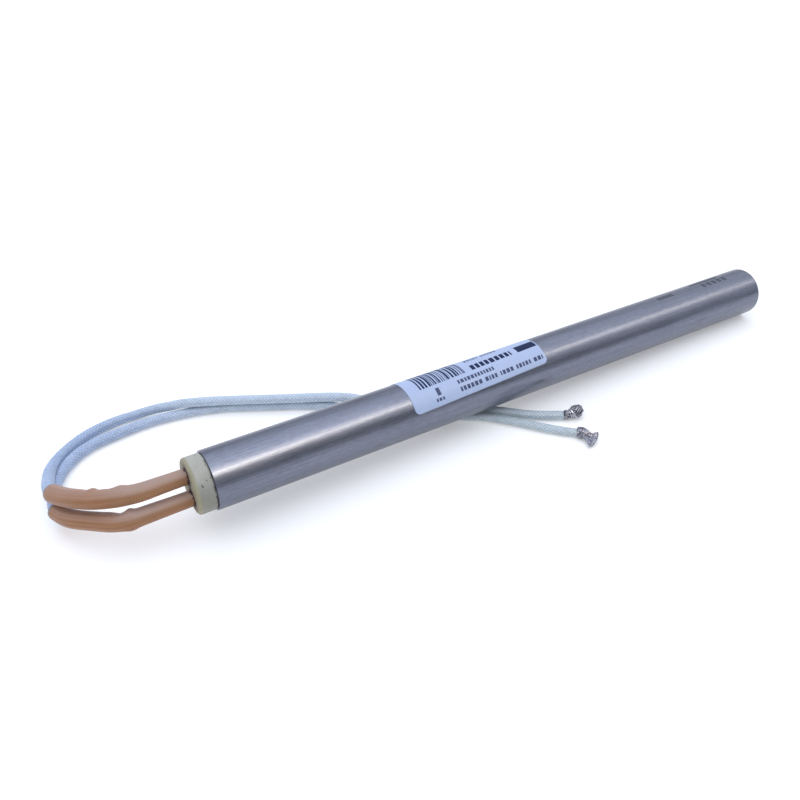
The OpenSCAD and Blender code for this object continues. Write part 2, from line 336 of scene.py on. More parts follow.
def ceramic_material(name, light, dark, speck=0.35, face=None):
    """Unglazed pressed ceramic: chalky grain, faint stains, sparse dark specks and pits."""
    m, t, b = material(name, Roughness=0.62, IOR=1.5)
    b.inputs["Specular IOR Level"].default_value = 0.35
    stain = noise(t, coords(t, (170, 170, 170)), 1, 4, 0.6)
    grain = noise(t, coords(t, (2600, 2600, 2600)), 1, 3, 0.7)
    spots = put(t, "ShaderNodeTexVoronoi", {"Vector": coords(t, (520, 520, 520)), "Scale": 1.0}).outputs[0]
    few = noise(t, coords(t, (330, 330, 330)), 1, 1, 0.5)
    c = ramp(t, stain, (0.32, dark), (0.62, light))
    if face:
        # the open face is more yellowed than the turned side
        at = put(t, "ShaderNodeSeparateXYZ", {0: coords(t, (1000, 1000, 1000), True)}).outputs[0]
        edge = RIM_X * CT - RIM_Z * ST - HEAD_OUT
        old = put(t, "ShaderNodeMapRange", {"Value": at, "From Min": edge + 1.2, "From Max": edge + 0.75, "To Min": 0.0, "To Max": 1.0}).outputs[0]
        c = mixed(t, old, c, mixed(t, 1.0, c, face, "MULTIPLY"))
        # painted shade and soot in the two lead holes
        place = put(t, "ShaderNodeSeparateXYZ", {0: coords(t, (1000, 1000, 1000), True)})
        middle = RIM_X * ST + RIM_Z * CT
        patch = ramp(t, noise(t, coords(t, (760, 760, 760)), 1, 3, 0.65), (0.38, 0.45), (0.54, 1.0))
        for hole in (HOLE_1, HOLE_2):
            dy = maths(t, "SUBTRACT", place.outputs[1], hole[0])
            dz = maths(t, "SUBTRACT", place.outputs[2], middle + hole[1])
            far = maths(t, "SQRT", maths(t, "ADD", maths(t, "MULTIPLY", dy, dy), maths(t, "MULTIPLY", dz, dz)))
            far = maths(t, "ADD", far, maths(t, "MULTIPLY", maths(t, "SUBTRACT", stain, 0.5), 1.6))
            soot_and_shade = put(t, "ShaderNodeMapRange", {"Value": far, "From Min": 5.3, "From Max": 3.7, "To Min": 0.0, "To Max": 0.95}).outputs[0]
            near = put(t, "ShaderNodeMapRange", {"Value": dy, "From Min": 2.4, "From Max": 0.2, "To Min": 0.1, "To Max": 1.0}).outputs[0]
            soot_and_shade = maths(t, "MULTIPLY", maths(t, "MULTIPLY", soot_and_shade, near), patch)
            c = mixed(t, soot_and_shade, c, (0.075, 0.045, 0.045))
        # painted shade: the side is darker towards the underside
        side = maths(t, "SUBTRACT", 1.0, old)
        underside_shade = put(t, "ShaderNodeMapRange", {"Value": place.outputs[2], "From Min": middle + 8.7, "From Max": middle + 4.2, "To Min": 0.0, "To Max": 0.54}).outputs[0]
        c = mixed(t, side, c, mixed(t, 1.0, c, (1.08, 1.09, 1.13), "MULTIPLY"))
        c = mixed(t, maths(t, "MULTIPLY", underside_shade, side), c, mixed(t, 1.0, c, (0.45, 0.45, 0.42), "MULTIPLY"))
        # grime and painted shade along the seam to the sheath
        seam = put(t, "ShaderNodeMapRange", {"Value": at, "From Min": edge + HEAD_OUT - 1.0, "From Max": edge + HEAD_OUT - 0.35, "To Min": 0.0, "To Max": 1.0}).outputs[0]
        grime_and_shade = ramp(t, noise(t, coords(t, (420, 420, 420)), 1, 3, 0.6), (0.55, 0.0), (0.64, 0.85))
        c = mixed(t, maths(t, "MULTIPLY", seam, grime_and_shade), c, (0.05, 0.045, 0.05))
        # single dark specks on the side and at the seam
        where = coords(t, (1000, 1000, 1000), True)
        for x, y, z, size in ((-1.99, -6.78, 6.58, 0.17), (-3.86, -7.43, 5.84, 0.18), (-3.72, -7.74, 5.42, 0.24), (-0.72, -6.44, 6.91, 0.12),
                              (-0.25, -9.41, 0.91, 0.42), (-0.15, -9.44, -0.32, 0.36), (-1.9, 3.1, 8.93, 0.2), (-3.1, 8.2, -4.7, 0.22), (-2.4, 7.3, 6.0, 0.16)):
            away = put(t, "ShaderNodeVectorMath", {0: where, 1: (edge + HEAD_OUT + x, y, middle + z)}, operation="DISTANCE").outputs["Value"]
            spot = put(t, "ShaderNodeMapRange", {"Value": away, "From Min": size + 0.16, "From Max": size - 0.06, "To Min": 0.0, "To Max": 0.85}).outputs[0]
            c = mixed(t, spot, c, (0.06, 0.045, 0.045))
    g = ramp(t, grain, (0.3, 0.90), (0.7, 1.05))
    c = mixed(t, 1.0, c, g, "MULTIPLY")
    dot = ramp(t, spots, (0.10, 1.0), (0.20, 0.0))
    on = ramp(t, few, (0.55, 0.0), (0.61, 1.0))
    mask = maths(t, "MULTIPLY", dot, on)
    mask = maths(t, "MULTIPLY", mask, speck * 2)
    c = mixed(t, mask, c, (0.05, 0.035, 0.03))
    t.links.new(c, b.inputs["Base Color"])
    n = bump(t, grain, 0.25, 0.00006)
    n = bump(t, stain, 0.25, 0.0002, n)
    t.links.new(n, b.inputs["Normal"])
    return m


MAT_CERAMIC = ceramic_material("steatite_cream", (0.375, 0.370, 0.312), (0.330, 0.320, 0.262), 0.5, (0.90, 0.85, 0.68))
MAT_MAGNESIA = ceramic_material("pressed_magnesia", (0.74, 0.73, 0.68), (0.60, 0.59, 0.55), 0.1)
MAT_CEMENT = ceramic_material("sealing_cement", (0.50, 0.47, 0.40), (0.38, 0.35, 0.30), 0.3)


def sleeve_material():
    """Silicone-coated glass sleeving: rubbery tan skin, lengthwise streaks, painted light on its raised ribs and a
    painted highlight where it faces up.
    """
    m, t, b = material("sleeving_tan", Roughness=0.5, IOR=1.43)
    b.inputs["Specular IOR Level"].default_value = 0.4
    b.inputs["Sheen Weight"].default_value = 0.22
    b.inputs["Sheen Roughness"].default_value = 0.35
    b.inputs["Sheen Tint"].default_value = (0.95, 0.92, 1.0, 1)
    rib = attribute(t, "rib")
    streak = attribute(t, "streak")
    blotch = noise(t, coords(t, (210, 210, 210)), 1, 4, 0.6)
    fine = noise(t, coords(t, (3200, 3200, 3200)), 1, 2, 0.6)
    c = ramp(t, streak, (0.0, (0.255, 0.117, 0.049)), (0.5, (0.312, 0.152, 0.070)), (1.0, (0.370, 0.202, 0.108)))
    c = mixed(t, 0.55, c, ramp(t, blotch, (0.3, 0.86), (0.7, 1.10)), "MULTIPLY")
    # painted light on the ribs: paler on their crests, painted shade in the grooves
    c = mixed(t, 1.0, c, ramp(t, rib, (0.0, 0.90), (1.0, 1.06)), "MULTIPLY")
    # painted highlight: the skin that faces up is paler
    facing = put(t, "ShaderNodeSeparateXYZ", {0: put(t, "ShaderNodeNewGeometry").outputs["Normal"]}).outputs[2]
    painted_top_highlight = put(t, "ShaderNodeMapRange", {"Value": facing, "From Min": 0.35, "From Max": 1.0, "To Min": 0.0, "To Max": 0.44}, interpolation_type="SMOOTHSTEP").outputs[0]
    out = attribute(t, "outer")
    c = mixed(t, out, c, mixed(t, 1.0, c, (0.98, 0.90, 0.80), "MULTIPLY"))
    painted_top_highlight = maths(t, "MULTIPLY", painted_top_highlight, maths(t, "SUBTRACT", 1.0, maths(t, "MULTIPLY", out, 0.45)))
    c = mixed(t, painted_top_highlight, c, (0.44, 0.37, 0.35))
    # darker where the sleeve leaves the head
    c = mixed(t, maths(t, "MULTIPLY", attribute(t, "dark_at_head"), 0.9), c, (0.055, 0.032, 0.034))
    t.links.new(c, b.inputs["Base Color"])
    t.links.new(ramp(t, blotch, (0.3, 0.42), (0.7, 0.58)), b.inputs["Roughness"])
    n = bump(t, fine, 0.12, 0.00004)
    t.links.new(n, b.inputs["Normal"])
    return m


def cut_material():
    """The cut edge of the sleeving: greyish glass fibre in silicone."""
    m, t, b = material("sleeving_cut_edge", Roughness=0.75)
    fibre = noise(t, coords(t, (2400, 2400, 2400)), 1, 3, 0.6)
    c = ramp(t, fibre, (0.3, (0.16, 0.14, 0.13)), (0.7, (0.34, 0.31, 0.30)))
    t.links.new(c, b.inputs["Base Color"])
    t.links.new(bump(t, fibre, 0.4, 0.0001), b.inputs["Normal"])
    return m


def braid_material():
    """Glass-fibre braid: glossy bluish white yarns with painted shade in the crossings and a painted highlight on the
    crowns, fine filaments along each yarn, and painted light along the lead.
    """
    m, t, b = material("glass_braid", Roughness=0.5)
    b.inputs["Specular IOR Level"].default_value = 0.5
    b.inputs["Sheen Weight"].default_value = 0.15
    b.inputs["Subsurface Weight"].default_value = 0.45
    b.inputs["Subsurface Scale"].default_value = 0.0012
    b.inputs["Subsurface Radius"].default_value = (1.0, 1.0, 1.0)
    # crown: painted shade in the yarn crossings, painted highlight on the crowns
    crown = attribute(t, "crown")
    fil = attribute(t, "filament")
    yarn = attribute(t, "yarn")
    dust = noise(t, coords(t, (120, 120, 120)), 1, 4, 0.6)
    # painted light along the lead: darker and bluer in the loop as if shaded, paler and less blue towards the front and
    # the cut end as if lit
    shaded_loop_tone = ramp(t, crown, (0.0, (0.25, 0.32, 0.45)), (0.35, (0.295, 0.375, 0.53)), (0.7, (0.335, 0.425, 0.59)), (1.0, (0.43, 0.53, 0.71)))
    lit_front_tone = ramp(t, crown, (0.0, (0.32, 0.38, 0.455)), (0.35, (0.395, 0.475, 0.565)), (0.7, (0.48, 0.565, 0.665)), (1.0, (0.60, 0.67, 0.765)))
    c = mixed(t, attribute(t, "along"), shaded_loop_tone, lit_front_tone)
    c = mixed(t, attribute(t, "end"), c, mixed(t, 1.0, c, (0.96, 0.945, 0.86), "MULTIPLY"))
    c = mixed(t, 1.0, c, ramp(t, yarn, (0.0, 0.93), (1.0, 1.06)), "MULTIPLY")
    c = mixed(t, 0.6, c, ramp(t, fil, (0.2, 0.90), (0.8, 1.07)), "MULTIPLY")
    c = mixed(t, 0.5, c, ramp(t, dust, (0.3, (0.86, 0.86, 0.84)), (0.65, (1.0, 1.0, 1.0))), "MULTIPLY")
    t.links.new(c, b.inputs["Base Color"])
    t.links.new(ramp(t, fil, (0.2, 0.55), (0.8, 0.40)), b.inputs["Roughness"])
    t.links.new(bump(t, fil, 0.3, 0.00005), b.inputs["Normal"])
    return m


def wire_material(name, base, rough):
    """Drawn wire: bright along its length, tarnished in patches."""
    m, t, b = material(name, Metallic=1.0)
    n1 = noise(t, coords(t, (900, 900, 900)), 1, 3, 0.6)
    n2 = noise(t, coords(t, (5200, 5200, 5200)), 1, 2, 0.6)
    c = mixed(t, 1.0, base, ramp(t, n1, (0.3, 0.62), (0.7, 1.1)), "MULTIPLY")
    t.links.new(c, b.inputs["Base Color"])
    t.links.new(ramp(t, n1, (0.3, rough + 0.12), (0.7, rough - 0.06)), b.inputs["Roughness"])
    t.links.new(bump(t, n2, 0.15, 0.00003), b.inputs["Normal"])
    return m


def paper_material():
    """Coated label paper: faint fibre cloud, slight sheen, edges a little handled."""
    m, t, b = material("label_paper", Roughness=0.48)
    b.inputs["Specular IOR Level"].default_value = 0.4
    cloud = noise(t, coords(t, (260, 260, 260)), 1, 4, 0.6)
    fibre = noise(t, coords(t, (1500, 4200, 4200)), 1, 3, 0.65)
    edge = attribute(t, "edge")
    c = ramp(t, cloud, (0.3, (0.375, 0.452, 0.625)), (0.7, (0.405, 0.482, 0.660)))
    c = mixed(t, 0.5, c, ramp(t, fibre, (0.3, 0.93), (0.7, 1.05)), "MULTIPLY")
    c = mixed(t, edge, c, (0.30, 0.34, 0.42))
    t.links.new(c, b.inputs["Base Color"])
    t.links.new(ramp(t, cloud, (0.3, 0.42), (0.7, 0.54)), b.inputs["Roughness"])
    t.links.new(bump(t, fibre, 0.10, 0.00004), b.inputs["Normal"])
    return m


def ink_material(name, dark, light):
    """Thermal print: dense in the middle, thin in speckles."""
    m, t, b = material(name, Roughness=0.5)
    b.inputs["Specular IOR Level"].default_value = 0.08
    g = noise(t, coords(t, (1900, 3800, 3800)), 1, 3, 0.7)
    t.links.new(ramp(t, g, (0.35, dark), (0.72, light)), b.inputs["Base Color"])
    t.links.new(ramp(t, g, (0.35, 0.45), (0.72, 0.6)), b.inputs["Roughness"])
    return m


MAT_SLEEVE = sleeve_material()
MAT_CUT = cut_material()
MAT_BRAID = braid_material()
MAT_NICKEL = wire_material("nickel_strand", (0.32, 0.325, 0.38), 0.24)
# a brighter copy of the nickel: painted highlight for the wound strands
MAT_NICKEL_LIT = wire_material("nickel_strand_painted_highlight", (0.66, 0.66, 0.72), 0.22)
MAT_PIN = wire_material("nickel_pin", (0.52, 0.50, 0.48), 0.35)
MAT_CRIMP = wire_material("nickel_crimp", (0.56, 0.54, 0.51), 0.38)
MAT_COIL = wire_material("resistance_wire", (0.36, 0.33, 0.31), 0.42)
MAT_PAPER = paper_material()
MAT_INK = ink_material("label_ink", (0.012, 0.020, 0.062), (0.026, 0.040, 0.095))
MAT_INK_LIGHT = ink_material("label_ink_light", (0.045, 0.058, 0.120), (0.11, 0.13, 0.21))
MAT_ETCH = ink_material("sheath_etch", (0.010, 0.011, 0.018), (0.030, 0.033, 0.045))

# ---------------------------------------------------------------- camera

RIGHT = Vector((0.85550657, -0.51779196, 0.0))
DOWN = Vector((-0.3217937, -0.5316742, -0.78343561))
FORWARD = Vector((0.40565666, 0.67023431, -0.62147296))
cam_data = bpy.data.cameras.new("camera")
cam_data.sensor_fit, cam_data.sensor_width = "HORIZONTAL", 36.0
cam_data.lens = 787.2 / 800 * 36.0
cam_data.clip_start, cam_data.clip_end = 0.01, 50
cam = bpy.data.objects.new("camera", cam_data)
look = Matrix((RIGHT, -DOWN, -FORWARD)).transposed().to_4x4()
look.translation = Vector((-0.158728, -0.184435, 0.191749))
cam.matrix_world = look
bpy.context.scene.collection.objects.link(cam)
bpy.context.scene.camera = cam
IMAGE_UP = np.array([-DOWN[0], -DOWN[1], -DOWN[2]])

# ---------------------------------------------------------------- cords


def cord_line(hole, route, moves, thin):
    """The middle of one lead, from inside the head to the end of its braid. moves are (from, full, until, off, x, y), thin is by
    how much its last stretch is thinner."""
    start = [on_axis(x, hole[0], hole[1]) for x in (-0.6, -6, -11, -16, -20.6)]
    q, s, key = spline(start + [(RIM_X + p[0], p[1], p[2]) for p in route], 0.1)
    q = eased(q, s, 1.6)
    # where the sheath lies over it, the lead is lifted to the middle of the gap; it never sinks into the floor
    lift = np.exp(-(((q[:, 0] - RIM_X - 100) / 14) ** 4)) * 0.28
    rest = 1.87 + 0.06 * (1 - smooth(110, 135, s)) + 0.20 * (1 - smooth(90, 122, s)) - thin * smooth(225, 240, s)
    # in the loop the two leads lie close together
    for a, b, c, e, x, y in moves:
        q[:, :2] += (smooth(a, b, s) * (1 - smooth(c, e, s)))[:, None] * (x, y)
    q[:, 2] = np.maximum(q[:, 2], rest) + lift + 0.34 * smooth(4.2, 5.0, q[:, 2]) * smooth(80, 100, s)
    return q, s, key


LINE_1, S_1, KEY_1 = cord_line(HOLE_1, ROUTE_1, [(74, 84, 88, 100, 0.33, -0.22), (258, 273, 400, 401, 0.0, -0.55)], 0.06)
LINE_2, S_2, KEY_2 = cord_line(HOLE_2, ROUTE_2, [(97, 106, 110, 126, 0.42, -0.42), (54, 61, 72, 88, -0.86, 0.52), (66, 74, 90, 101, -0.52, 0.35), (225, 240, 272, 282, 0.05, 0.35), (254, 264, 270, 281, 0.0, 0.5), (236, 248, 262, 276, 0.0, 0.9)], 0.18)


def part_of(q, s, a, b, step):
    """The stretch of a line from distance a to b, with points about step apart."""
    at = np.linspace(a, b, max(2, int(round((b - a) / step)) + 1))
    return np.stack([np.interp(at, s, q[:, k]) for k in range(3)], 1), at


def braided_lead(name, q, s, key, phase, flat, thin, other):
    """A tube of 16 flat yarns, 8 each way round, woven one over one. flat gives how much wider than tall it lies."""
    sides, carriers, pitch, r0 = 72, 8, 11.0, 1.76
    p, at = part_of(q, s, key[4], s[-1], 0.205)
    t, n, b = frames(p)
    ang = np.linspace(0, 2 * math.pi, sides, endpoint=False)
    level = unit(np.cross(t, (0, 0, 1.0)))
    out = np.cos(ang)[None, :, None] * n[:, None] + np.sin(ang)[None, :, None] * b[:, None]
    oval = 2 * np.einsum("ijk,ik->ij", out, level) ** 2 - 1
    squeeze = np.interp(at, [f[0] for f in flat], [f[1] for f in flat])[:, None]
    u = ang[None, :] / (2 * math.pi) * carriers
    v = (at / pitch * carriers)[:, None]
    wob = 0.05 * np.sin(at / 5.3 + phase)[:, None]
    a, c = u + v + phase + wob, u - v + 0.37 * phase - wob
    fa, fc = a - np.floor(a) - 0.5, c - np.floor(c) - 0.5
    over = ((np.floor(a) + np.floor(c)) % 2) == 0
    across = np.where(over, fa, fc)
    along = np.where(over, fc, fa)
    crown = np.sqrt(np.clip(1 - (2 * np.abs(across)) ** 2.4, 0, 1)) * (0.45 + 0.55 * np.cos(math.pi * along))
    which = np.where(over, np.floor(a) % carriers, carriers + np.floor(c) % carriers).astype(int)
    tone = np.random.default_rng(5).random(2 * carriers)[which]
    fil = 0.5 + 0.5 * np.sin(across * 2 * math.pi * 5.0 + 1.3 * which)
    # a little unevenness along the lead, and a pinched end
    size = r0 + 0.022 * np.sin(at / 7.1 + phase) + 0.016 * np.sin(at / 2.9 + 2 * phase)
    size = size - 0.05 * smooth(s[-1] - 1.2, s[-1], at) + 0.05 * (1 - smooth(115, 135, at)) + 0.20 * (1 - smooth(90, 122, at)) - thin * smooth(225, 240, at)
    rad = size[:, None] * (1 + squeeze * oval) + 0.17 * crown - 0.11
    pts = p[:, None] + rad[..., None] * out
    # where the two leads press on each other, both are flattened
    beside = other[np.linalg.norm(p[:, None] - other[None], axis=2).argmin(1)] - p
    half = np.linalg.norm(beside, axis=1) / 2
    beside = unit(beside)
    past = np.einsum("ijk,ik->ij", pts - p[:, None], beside) - (half - 0.03)[:, None]
    pts = pts - np.clip(past, 0, None)[..., None] * beside[:, None]
    d = Build()
    d.rings(pts)
    crowns, tones, fils = [crown.ravel()], [tone.ravel()], [fil.ravel()]
    # the cut end turns in to the strands, and the hidden start is closed
    m = sides
    last = (len(p) - 1) * m
    dirs = np.cos(ang)[:, None] * n[-1] + np.sin(ang)[:, None] * b[-1]
    jag = 0.10 * np.sin(ang * 9 + phase)[:, None] * t[-1]
    ring1 = p[-1] + 1.52 * dirs + 0.14 * t[-1] + jag
    ring2 = p[-1] + 1.24 * dirs - 0.10 * t[-1]
    ring3 = p[-1] + 1.20 * dirs - 1.4 * t[-1]
    inner = np.concatenate([ring1, ring2, ring3])
    base = d.add(inner, [])
    for k in range(3):
        lo = last if k == 0 else base + (k - 1) * m
        hi = base + k * m
        d.f += [[lo + j, lo + (j + 1) % m, hi + (j + 1) % m, hi + j] for j in range(m)]
        d.mat += [0] * m
    d.f.append([base + 2 * m + j for j in range(m)])
    d.f.append([j for j in range(m - 1, -1, -1)])
    d.mat += [0, 0]
    along = np.concatenate([np.repeat(smooth(95, 150, at), m), np.ones(3 * m)])
    end = np.concatenate([np.repeat(smooth(210, 240, at), m), np.ones(3 * m)])
    # the rings turned in at the cut get darker tones as painted shade
    crowns.append(np.repeat([0.55, 0.2, 0.0], m))
    tones.append(np.full(3 * m, 0.5))
    fils.append(np.tile(0.5 + 0.5 * np.sin(ang * 20), 3))
    o = d.object(name, [MAT_BRAID], attrs={"crown": np.concatenate(crowns), "yarn": np.concatenate(tones), "filament": np.concatenate(fils), "along": along, "end": end})
    return o, p


lead_1, path_1 = braided_lead("braid_lead_1", LINE_1, S_1, KEY_1, 0.3, [(0, 0.0), (120, 0.0), (150, 0.04), (190, 0.04), (215, 0.0), (240, 0.05), (290, 0.06)], 0.06, LINE_2[::4])
lead_2, path_2 = braided_lead("braid_lead_2", LINE_2, S_2, KEY_2, 1.7, [(0, 0.0), (70, 0.0), (85, 0.02), (125, 0.04), (150, 0.0), (220, 0.0), (245, 0.03), (290, 0.04)], 0.18, LINE_1[::4])
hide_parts("lead_1")
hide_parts("lead_2")


def sleeve(name, q, s, end, big, folds, phase):
    """Coated sleeving with folds on the inside of its bend. folds are (distance, width, height, side, power)."""
    sides, wall = 128, 0.55
    p, at = part_of(q, s, 0.0, end, 0.16)
    t, n, b = frames(p)
    ang = np.linspace(0, 2 * math.pi, sides, endpoint=False)
    out = np.cos(ang)[None, :, None] * n[:, None] + np.sin(ang)[None, :, None] * b[:, None]
    up = IMAGE_UP[None] - (t @ IMAGE_UP)[:, None] * t
    up = unit(up)
    face = np.einsum("ijk,ik->ij", out, up)
    size = 2.66 + big * smooth(3, 31, at)
    rad = np.repeat(size[:, None], sides, 1)
    for at0, width, height, side, power in folds:
        w = np.exp(-(((at - at0) / width) ** 2))[:, None]
        rad += height * w * np.clip(side * face, 0, 1) ** power
    # ribs of the weave under the coat, strongest on the straight stretch beyond the head
    u = ang[None, :] / (2 * math.pi)
    strong = (smooth(10, 15, at) * (1 - smooth(22, 29, at)))[:, None]
    ribs = np.sin(2 * math.pi * (at[:, None] / 0.74 + 3 * u + 0.15 * np.sin(2 * math.pi * u * 5 + phase)))
    cross = np.sin(2 * math.pi * (at[:, None] / 1.9 - 14 * u))
    rib = ribs * (0.7 + 0.3 * cross)
    rad += (0.004 + 0.018 * strong) * rib
    # lengthwise streaks, and slow unevenness
    r2 = np.random.default_rng(int(phase * 10) + 3)
    streak = np.zeros((len(at), sides))
    for k in range(4, 26):
        streak += r2.normal() / k**0.45 * np.sin(k * ang[None, :] + r2.uniform(0, 6.3) + 0.05 * k * np.sin(at / 9 + r2.uniform(0, 6.3))[:, None])
    streak = 0.5 + 0.5 * np.tanh(streak * 0.55)
    rad += 0.035 * (streak - 0.5) * smooth(22, 36, at)[:, None]
    rad += 0.03 * np.sin(at / 3.7 + phase)[:, None] * np.sin(ang * 2 + 0.1 * at[:, None])
    # softened edges at the cut
    rad -= (0.10 * smooth(end - 0.35, end, at))[:, None]
    shift = (0.16 * np.sin(ang + 1.1 + phase) + 0.05 * np.sin(ang * 7 + 2 * phase))[None, :] * smooth(end - 4, end, at)[:, None]
    pts = p[:, None] + rad[..., None] * out + shift[..., None] * t[:, None]
    d = Build()
    d.rings(pts)
    inner_r = rad - wall - 0.05 + (0.20 * smooth(end - 0.35, end, at))[:, None]
    every = np.unique(np.concatenate([np.arange(0, len(p), 6), np.arange(len(p) - 6, len(p))]))
    ins = (p[:, None] + inner_r[..., None] * out + shift[..., None] * t[:, None])[every][::-1]
    base = d.count
    d.rings(ins)
    m, k = sides, len(every)
    tail = (len(p) - 1) * m
    d.f += [[tail + j, tail + (j + 1) % m, base + (j + 1) % m, base + j] for j in range(m)]
    foot = base + (k - 1) * m
    d.f += [[foot + j, foot + (j + 1) % m, (j + 1) % m, j] for j in range(m)]
    d.mat += [1] * (2 * m)
    # the last skin beside the cut edge is grey too
    quads = len(p) - 1
    for row in range(quads - 6, quads):
        for j in range(m):
            d.mat[row * m + j] = 1
    # darkened where it leaves the head
    reach = HEAD_OUT - 0.35 + 0.22 * np.sin(3 * ang + phase) + 0.16 * np.sin(8 * ang + 2.3) + 0.10 * np.sin(13 * ang + 5 * phase)
    dark_at_head = 1 - smooth(0.0, 0.35, at[:, None] - reach[None, :])
    attrs = {
        "rib": np.concatenate([(0.5 + 0.5 * rib * (0.25 + 0.75 * strong)).ravel(), np.full(k * m, 0.4)]),
        "streak": np.concatenate([(streak * smooth(16, 34, at)[:, None] + 0.5 * (1 - smooth(16, 34, at))[:, None]).ravel(), np.full(k * m, 0.3)]),
        "outer": np.concatenate([np.repeat(smooth(22, 34, at), m), np.full(k * m, 1.0)]),
        "dark_at_head": np.concatenate([dark_at_head.ravel(), np.zeros(k * m)]),
    }
    o = d.object(name, [MAT_SLEEVE, MAT_CUT], sharp=60, attrs=attrs)
    return o


sleeve_1 = sleeve("sleeving_1", LINE_1, S_1, KEY_1[9] - 0.9, 0.45, [
    (35.2, 1.25, 0.42, 1, 3), (38.3, 1.5, -0.14, 1, 3), (32.6, 1.2, -0.16, 1, 3),
    (25.3, 1.9, 0.42, 1, 2.5), (29.0, 2.0, -0.18, 1, 2.5), (27, 3.5, 0.12, -1, 2),
], 0.4)
sleeve_2 = sleeve("sleeving_2", LINE_2, S_2, KEY_2[10] - 1.5, 0.38, [
    (24.4, 1.45, 0.62, 1, 2.5), (28.0, 1.9, -0.30, 1, 2.5), (25.0, 1.7, 0.42, -1, 2.5),
    (32.5, 2.2, 0.10, 1, 3),
], 1.3)
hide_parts("sleeve_1")
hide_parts("sleeve_2")

# ---------------------------------------------------------------- stripped ends


def core(d, q, s, key):
    """The stranded conductor inside the braid, from the crimp barrel to its end."""
    p, _ = part_of(q, s, key[4] - 6.0, s[-1] - 0.8, 1.2)
    d.tube(p, 0.98, 14)


def bundle_frame(q, tip):
    end = q[-1]
    p, s, _ = spline([q[-16], end] + [(RIM_X + t[0], t[1], t[2]) for t in tip], 0.05)
    s0 = np.linalg.norm(q[-1] - q[-16])
    t, n, b = frames(p)
    return p, s - s0, t, n, b


def at_line(f, s, x, y):
    """Points beside a bundle's own line."""
    p, ss, t, n, b = f
    pick = lambda arr: np.stack([np.interp(s, ss, arr[:, k]) for k in range(3)], 1)
    over = np.maximum(np.asarray(s) - ss[-1], 0)[:, None]
    return pick(p) + over * t[-1] + np.asarray(x)[:, None] * pick(n) + np.asarray(y)[:, None] * pick(b)


def folded_end(name, q, s, key, tip):
    """Strands twisted together and folded back over themselves into a short knob."""
    d = Build()
    core(d, q, s, key)
    f = bundle_frame(q, tip)
    r = np.random.default_rng(21)
    count = 36
    for i in range(count):
        rho, phi = math.sqrt((i + 0.5) / count), i * 2.39996
        top = 7.7 + r.uniform(-0.4, 0.4) + 0.7 * (1 - rho)
        go = np.linspace(-0.9, top, 50)
        grow = 0.98 + 0.74 * smooth(-0.2, 1.3, go) - 0.40 * np.exp(-(((go - 2.95) / 0.75) ** 2)) + 0.30 * smooth(3.3, 4.8, go)
        grow *= 1 - 0.5 * smooth(top - 2.0, top, go)
        a = phi + 0.34 * go
        x, y = rho * grow * np.cos(a), rho * grow * np.sin(a)
        if rho > 0.5:
            back_to = r.uniform(3.2, 4.0)
            u = np.linspace(0, 1, 32)[1:]
            ret = top - (top - back_to) * u + 0.75 * np.sin(math.pi * np.clip(u * 1.6, 0, 1)) * (1 - u)
            wide = rho * grow[-1] + (2.20 + r.uniform(-0.12, 0.14) - rho * grow[-1]) * smooth(0, 0.45, u) - 0.45 * smooth(0.72, 1, u)
            a2 = a[-1] + (1.3 + r.uniform(-0.2, 0.5)) * u
            go = np.concatenate([go, ret])
            x = np.concatenate([x, wide * np.cos(a2)])
            y = np.concatenate([y, wide * np.sin(a2)])
        pts = at_line(f, go, x, y)
        pts[:, 2] = np.maximum(pts[:, 2], 0.22)
        d.tube(pts, 0.20, 8)
    # strands wound round the waist and slantwise over the knob, in a brighter copy of the nickel as a painted highlight
    for s0, run, size, turns, start in ((2.5, 0.8, 1.66, 1.3, 0.4), (2.9, 0.7, 1.72, 1.2, 2.6), (3.3, 2.6, 2.40, 0.55, 0.9), (3.6, 2.7, 2.42, 0.5, 1.5)):
        u = np.linspace(0, 1, 60)
        a = start + 2 * math.pi * turns * u
        rr = size + 0.06 * np.sin(3 * a)
        pts = at_line(f, s0 + run * u, rr * np.cos(a), rr * np.sin(a))
        pts[:, 2] = np.maximum(pts[:, 2], 0.24)
        d.tube(pts, 0.23, 8, 1)
    o = d.object(name, [MAT_NICKEL, MAT_NICKEL_LIT])
    return o


